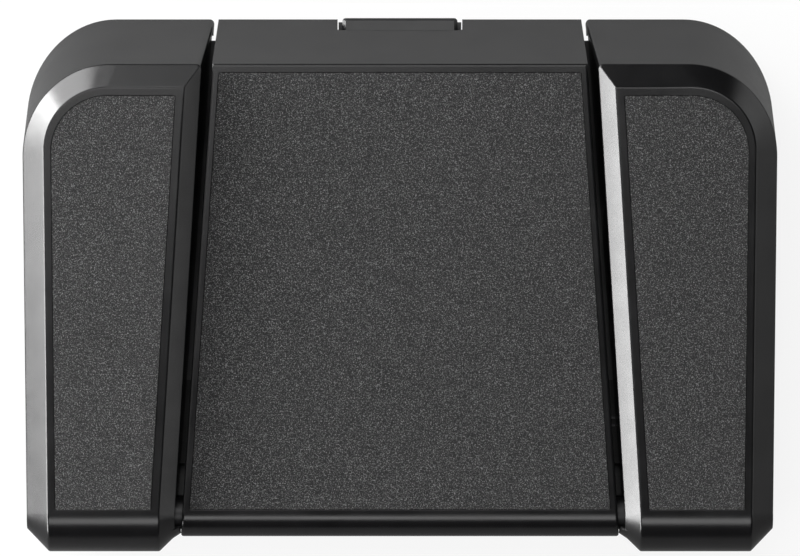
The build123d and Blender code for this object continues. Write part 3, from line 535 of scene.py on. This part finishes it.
class Finishes:
    """Every finish of the switch, made once."""

    def __init__(self) -> None:
        """Build the materials."""
        self.pedal = Moulding("pedal_plastic", (0.0040, 0.0040, 0.0043),
                              edge=0.45 * MM).make()
        self.port = Moulding("port_plastic", (0.008, 0.008, 0.0084),
                             rough_low=0.3, rough_high=0.38).make()
        self.grit = Grit("grip_grain").make()
        self.tray = Coating("tray_coating", (0.016, 0.016, 0.017)).make()
        self.foot = Rubber("foot_rubber").make()
        self.bracket = Coating("bracket_coating", (0.006, 0.006, 0.0065),
                               peel=0.7 * MM).make()
        self.ground = Metal("ground_steel", (0.62, 0.62, 0.64), 0.16, 0.3,
                            stretch=(12.0, 1.0, 1.0)).make()
        self.wire = Metal("spring_wire", (0.42, 0.41, 0.40), 0.24, 0.36).make()
        self.screw = Metal("plated_screws", (0.55, 0.56, 0.60), 0.24, 0.4).make()
        self.bronze = Metal("bush_bronze", (0.55, 0.34, 0.14), 0.35, 0.5,
                            mark=0.3 * MM).make()
        self.nylon = Moulding("nylon", (0.62, 0.60, 0.54), tint=1.08,
                              rough_low=0.42, rough_high=0.52).make()
        self.switch = Moulding("switch_plastic", (0.02, 0.02, 0.022),
                               rough_low=0.4, rough_high=0.5).make()
        self.button = Moulding("plunger_red", (0.42, 0.02, 0.015),
                               rough_low=0.25, rough_high=0.33).make()
        self.board = Laminate("board_laminate").make()
        self.header = Moulding("header_white", (0.68, 0.66, 0.6), tint=1.05,
                               rough_low=0.4, rough_high=0.5).make()
        self.jacket = Moulding("lead_jacket", (0.014, 0.014, 0.014),
                               rough_low=0.4, rough_high=0.52).make()
        self.socket = Metal("socket_shell", (0.6, 0.6, 0.61), 0.2, 0.34,
                            stretch=(1.0, 6.0, 1.0)).make()


def dress(node: str, finish: bpy.types.Material) -> None:
    """Give a CAD node its finish.

    Args:
        node: the node's name.
        finish: the material for all its slots.
    """
    piece = bpy.data.objects[node]
    if not piece.material_slots:
        piece.data.materials.append(finish)
    for place in piece.material_slots:
        place.link = "OBJECT"
        place.material = finish
    log.info("dressed %s in %s", node, finish.name)


@dataclass(frozen=True)
class Softbox:
    """One soft lamp aimed at the switch.

    Attributes:
        name: the lamp's name.
        place: its middle.
        size: its two sides.
        watts: its power.
    """

    name: str
    place: Point
    size: tuple[float, float]
    watts: float

    def hang(self, target: Point) -> None:
        """Add the lamp.

        Args:
            target: the point that it is aimed at.
        """
        data = bpy.data.lights.new(self.name, "AREA")
        data.shape = "RECTANGLE"
        data.size, data.size_y = self.size
        data.energy = self.watts
        lamp = bpy.data.objects.new(self.name, data)
        lamp.location = self.place
        back = Vector(self.place) - Vector(target)
        lamp.rotation_euler = back.to_track_quat("Z", "Y").to_euler()
        lamp.visible_camera = False
        bpy.context.scene.collection.objects.link(lamp)


@dataclass
class Studio:
    """Camera, lamps, world and floor.

    Attributes:
        slope: tilt of the treads, which the camera faces squarely.
        distance: from the aim to the camera.
        far: how far the camera sees.
        focal_px: focal length in pixels of the photograph.
        aim: the point in the middle of the picture.
        target: the point that the lamps are aimed at.
        lamps: the soft lamps.
        ambient: light of the world on every surface.
        ceiling: brightness of the world's upper half in reflections.
        horizon: heights between which the world changes from white to the ceiling.
        floor_half: half the floor's side.
        floor_seen: share of plain white that the camera sees in the floor.
        floor_mirrored: the same share in reflections.
        floor_colour: the floor's colour for the light that it passes on.
        floor_in_gloss: the floor's colour in reflections.
        floor_rough: the floor's roughness.
        floor_specular: strength of the floor's own reflections.
    """

    slope: float = math.radians(11.5)
    distance: float = 2.9
    far: float = 100.0
    focal_px: float = 9168.0
    aim: Point = (0.00003, -0.00404, 0.04109)
    target: Point = (0.0, 0.0, 0.03)
    lamps: tuple[Softbox, ...] = (
        Softbox("key", (-1.0, -0.04, 0.17), (1.7, 0.34), 36.0),
        Softbox("key_rear", (-0.8, 0.82, 0.42), (0.9, 0.66), 15.0),
        Softbox("front_strip", (0.0, -0.74, 0.98), (1.0, 0.34), 3.4),
        Softbox("overhead", (-0.05, 0.15, 1.3), (1.0, 0.55), 5.2),
        Softbox("rear_left", (-0.58, 0.95, 0.98), (1.1, 0.5), 5.6),
        Softbox("left_fill", (-1.0, 0.0, 0.87), (0.5, 0.5), 1.0),
        Softbox("right_low", (1.0, 0.3, 0.17), (1.3, 0.3), 1.4),
    )
    ambient: float = 0.1
    ceiling: float = 0.025
    horizon: Span = (-0.06, 0.06)
    floor_half: float = 6.0
    floor_seen: float = 0.86
    floor_mirrored: float = 0.12
    floor_colour: Colour = (0.85, 0.85, 0.85)
    floor_in_gloss: Colour = (0.16, 0.16, 0.16)
    floor_rough: float = 0.9
    floor_specular: float = 0.1

    def camera(self) -> None:
        """Place the camera square to the treads."""
        data = bpy.data.cameras.new("view")
        data.sensor_width = SENSOR_MM
        data.lens = self.focal_px / PHOTO_WIDTH * SENSOR_MM
        data.clip_end = self.far
        eye = bpy.data.objects.new("view", data)
        back = Vector((0, -math.sin(self.slope), math.cos(self.slope)))
        eye.location = Vector(self.aim) + back * self.distance
        eye.rotation_euler = back.to_track_quat("Z", "Y").to_euler()
        bpy.context.scene.collection.objects.link(eye)
        bpy.context.scene.camera = eye

    def backdrop(self, tree: bpy.types.NodeTree, strength: float) -> bpy.types.ShaderNode:
        """Add a white background of a given strength.

        Args:
            tree: the world's node tree.
            strength: 1 is white.

        Returns:
            The background node.
        """
        node = tree.nodes.new("ShaderNodeBackground")
        node.inputs["Color"].default_value = (1, 1, 1, 1)
        node.inputs["Strength"].default_value = strength
        return node

    def mixed(self, tree: bpy.types.NodeTree, fac: bpy.types.NodeSocket,
              first: bpy.types.ShaderNode,
              second: bpy.types.ShaderNode) -> bpy.types.ShaderNode:
        """Mix two shaders.

        Args:
            tree: the node tree to add to.
            fac: 0 for the first shader, 1 for the second.
            first: first shader.
            second: second shader.

        Returns:
            The mix node.
        """
        mix = tree.nodes.new("ShaderNodeMixShader")
        tree.links.new(fac, mix.inputs["Fac"])
        tree.links.new(first.outputs[0], mix.inputs[1])
        tree.links.new(second.outputs[0], mix.inputs[2])
        return mix

    def world(self) -> None:
        """White studio whose ceiling is dim in reflections, over grey ambient light."""
        world = bpy.data.worlds.new("studio")
        world.use_nodes = True
        bpy.context.scene.world = world
        tree = world.node_tree
        path = tree.nodes.new("ShaderNodeLightPath")
        split = tree.nodes.new("ShaderNodeSeparateXYZ")
        direction = tree.nodes.new("ShaderNodeTexCoord").outputs["Generated"]
        tree.links.new(direction, split.inputs[0])
        height = tree.nodes.new("ShaderNodeMapRange")
        height.interpolation_type = "SMOOTHSTEP"
        height.inputs["From Min"].default_value = self.horizon[0]
        height.inputs["From Max"].default_value = self.horizon[1]
        tree.links.new(split.outputs["Z"], height.inputs["Value"])
        white = self.backdrop(tree, 1.0)
        dim = self.backdrop(tree, self.ceiling)
        mirrored = self.mixed(tree, height.outputs["Result"], white, dim)
        shown = self.backdrop(tree, self.ambient)
        for ray, layer in (("Is Glossy Ray", mirrored), ("Is Camera Ray", white),
                           ("Is Transmission Ray", white)):
            shown = self.mixed(tree, path.outputs[ray], shown, layer)
        tree.links.new(shown.outputs[0], tree.nodes["World Output"].inputs["Surface"])

    def glow(self, tree: bpy.types.NodeTree) -> bpy.types.NodeSocket:
        """Share of the floor's own light, by the kind of ray that meets it.

        Args:
            tree: the node tree to add to.

        Returns:
            The share, 0 for the rays that carry light and shadow.
        """
        path = tree.nodes.new("ShaderNodeLightPath")
        total = None
        for ray, share in (("Is Camera Ray", self.floor_seen),
                           ("Is Transmission Ray", self.floor_seen),
                           ("Is Glossy Ray", self.floor_mirrored)):
            part = tree.nodes.new("ShaderNodeMath")
            part.operation = "MULTIPLY_ADD"
            tree.links.new(path.outputs[ray], part.inputs[0])
            part.inputs[1].default_value = share
            part.inputs[2].default_value = 0.0
            if total is not None:
                tree.links.new(total, part.inputs[2])
            total = part.outputs[0]
        return total

    def floor(self) -> None:
        """Pale floor that keeps a faint shadow."""
        mesh = bpy.data.meshes.new("floor")
        grid = bmesh.new()
        bmesh.ops.create_grid(grid, x_segments=1, y_segments=1, size=self.floor_half)
        grid.to_mesh(mesh)
        grid.free()
        floor = bpy.data.objects.new("floor", mesh)
        bpy.context.scene.collection.objects.link(floor)
        shader = Shader("pale_floor")
        tree = shader.tree
        path = tree.nodes.new("ShaderNodeLightPath")
        shader.feed("Base Color", shader.blend(path.outputs["Is Glossy Ray"],
                                               self.floor_colour, self.floor_in_gloss))
        shader.set(Roughness=self.floor_rough, Specular_IOR_Level=self.floor_specular)
        glow = tree.nodes.new("ShaderNodeEmission")
        glow.inputs["Strength"].default_value = 1.0
        mix = self.mixed(tree, self.glow(tree), shader.surface, glow)
        tree.links.new(mix.outputs[0], tree.nodes["Material Output"].inputs["Surface"])
        mesh.materials.append(shader.material)

    def build(self) -> None:
        """Set up the whole studio."""
        bpy.context.scene.view_settings.view_transform = "Standard"
        self.camera()
        self.world()
        self.floor()
        for lamp in self.lamps:
            lamp.hang(self.target)
        log.info("studio ready")


@dataclass
class Pedals:
    """The three pedal shells with their grip pads and bushes.

    Attributes:
        finishes: the finishes of the switch.
    """

    finishes: Finishes

    def build(self) -> None:
        """Dress the pedals."""
        for side in Side:
            dress(side.node("pedal_shell"), self.finishes.pedal)
            dress(side.node("grip_pad"), self.finishes.grit)
            dress(side.node("bushes"), self.finishes.bronze)


@dataclass
class Base:
    """Tray, feet, hinge hardware and stops.

    Attributes:
        finishes: the finishes of the switch.
    """

    finishes: Finishes

    def build(self) -> None:
        """Dress the base."""
        looks = self.finishes
        plan = {
            "base_tray": looks.tray,
            "front_feet": looks.foot, "rear_feet": looks.foot, "stop_washers": looks.foot,
            "hinge_shaft": looks.ground, "shaft_clips": looks.ground,
            "tray_screws": looks.screw, "board_screws": looks.screw,
            "port_screws": looks.screw, "port_board_screws": looks.screw,
            "left_inner_bracket": looks.bracket, "left_outer_bracket": looks.bracket,
            "right_inner_bracket": looks.bracket, "right_outer_bracket": looks.bracket,
        }
        for node, finish in plan.items():
            dress(node, finish)
        for side in Side:
            dress(side.node("stop_post"), looks.ground)
            dress(side.node("stop_bumper"), looks.foot)
            dress(side.node("spring_seat"), looks.nylon)


@dataclass
class Springs:
    """Return springs, each wound from one wire with closed, ground end turns.

    Attributes:
        finishes: the finishes of the switch.
        wire: radius of the wire.
        turns: how many turns a spring has.
        closed: how many turns lie close at each end.
        sunk: share of the wire's radius that is ground off at each end.
        keep: share of its height that a spring keeps when it is pressed; not used.
        steps: rings of points in a turn.
        corners: points in a ring.
    """

    finishes: Finishes
    wire: float = 0.8 * MM
    turns: float = 7.5
    closed: float = 0.9
    sunk: float = 0.35
    keep: float = 0.867
    steps: int = 26
    corners: int = 10

    def rise(self, turn: float, height: float) -> float:
        """Height that the wire has reached.

        Args:
            turn: how many turns have been wound.
            height: height of the whole coil, between the wire's middles.

        Returns:
            The height above the first turn's start.
        """
        pitch = 2 * self.wire
        if turn < self.closed:
            return pitch * turn
        if turn > self.turns - self.closed:
            return height - pitch * (self.turns - turn)
        flat = pitch * self.closed
        open_turns = self.turns - 2 * self.closed
        return flat + (height - 2 * flat) * (turn - self.closed) / open_turns

    def wind(self, side: Side) -> bpy.types.Object:
        """Wind one spring in the place of its node.

        Args:
            side: the pedal it lifts.

        Returns:
            The spring.
        """
        low, high = (Vector(corner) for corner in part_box(side.node("spring")))
        middle = (low + high) / 2
        radius = (high.x - low.x) / 2 - self.wire
        inset = self.wire * (1 - self.sunk)
        height = high.z - low.z - 2 * inset
        count = round(self.turns * self.steps)
        points, faces = [], []
        for step in range(count + 1):
            turn = self.turns * step / count
            angle = math.tau * turn
            out = Vector((math.cos(angle), math.sin(angle), 0))
            centre = middle + out * radius
            centre.z = low.z + inset + self.rise(turn, height)
            for corner in range(self.corners):
                lean = math.tau * corner / self.corners
                across = out * math.cos(lean) + Vector((0, 0, math.sin(lean)))
                point = centre + across * self.wire
                point.z = min(max(point.z, low.z), high.z)
                points.append(point)
        for step in range(count):
            for corner in range(self.corners):
                first, second = step * self.corners, (step + 1) * self.corners
                beside = (corner + 1) % self.corners
                faces.append((first + corner, second + corner,
                              second + beside, first + beside))
        faces.append(tuple(range(self.corners)))
        faces.append(tuple(reversed(range(count * self.corners,
                                          (count + 1) * self.corners))))
        mesh = bpy.data.meshes.new(side.node("wound_spring"))
        mesh.from_pydata(points, [], faces)
        for face in mesh.polygons:
            face.use_smooth = len(face.vertices) == 4
        mesh.materials.append(self.finishes.wire)
        spring = bpy.data.objects.new(mesh.name, mesh)
        bpy.context.scene.collection.objects.link(spring)
        return spring

    def build(self) -> None:
        """Wind the springs on the base, in place of their CAD nodes."""
        for side in Side:
            spring = self.wind(side)
            seat = (*spring.data.vertices[0].co.xy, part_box(side.node("spring"))[0][2])
            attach(spring, "base")
            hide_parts(side.node("spring"))
            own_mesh(spring)
            log.info("wound %s", spring.name)


@dataclass
class Electronics:
    """Switch board, port board, socket, block and the lead between them.

    Attributes:
        finishes: the finishes of the switch.
    """

    finishes: Finishes

    def build(self) -> None:
        """Dress the electronics."""
        looks = self.finishes
        plan = {
            "switch_board": looks.board, "port_board": looks.board,
            "board_spacers": looks.nylon, "lead_clip": looks.nylon,
            "controller_chip": looks.switch, "board_components": looks.switch,
            "board_headers": looks.header, "lead_plugs": looks.header,
            "inner_lead": looks.jacket, "port_insulator": looks.jacket,
            "socket_tongue": looks.jacket, "socket_shell": looks.socket,
            "port_block": looks.port,
        }
        for node, finish in plan.items():
            dress(node, finish)
        for side in Side:
            dress(side.node("switch"), looks.switch)
            dress(side.node("plunger"), looks.button)


def main() -> None:
    """Build the studio and the switch, piece by piece."""
    Studio().build()
    finishes = Finishes()
    Pedals(finishes).build()
    Base(finishes).build()
    Springs(finishes).build()
    Electronics(finishes).build()


if __name__ == "__main__":
    logging.basicConfig(level=logging.INFO)
    main()
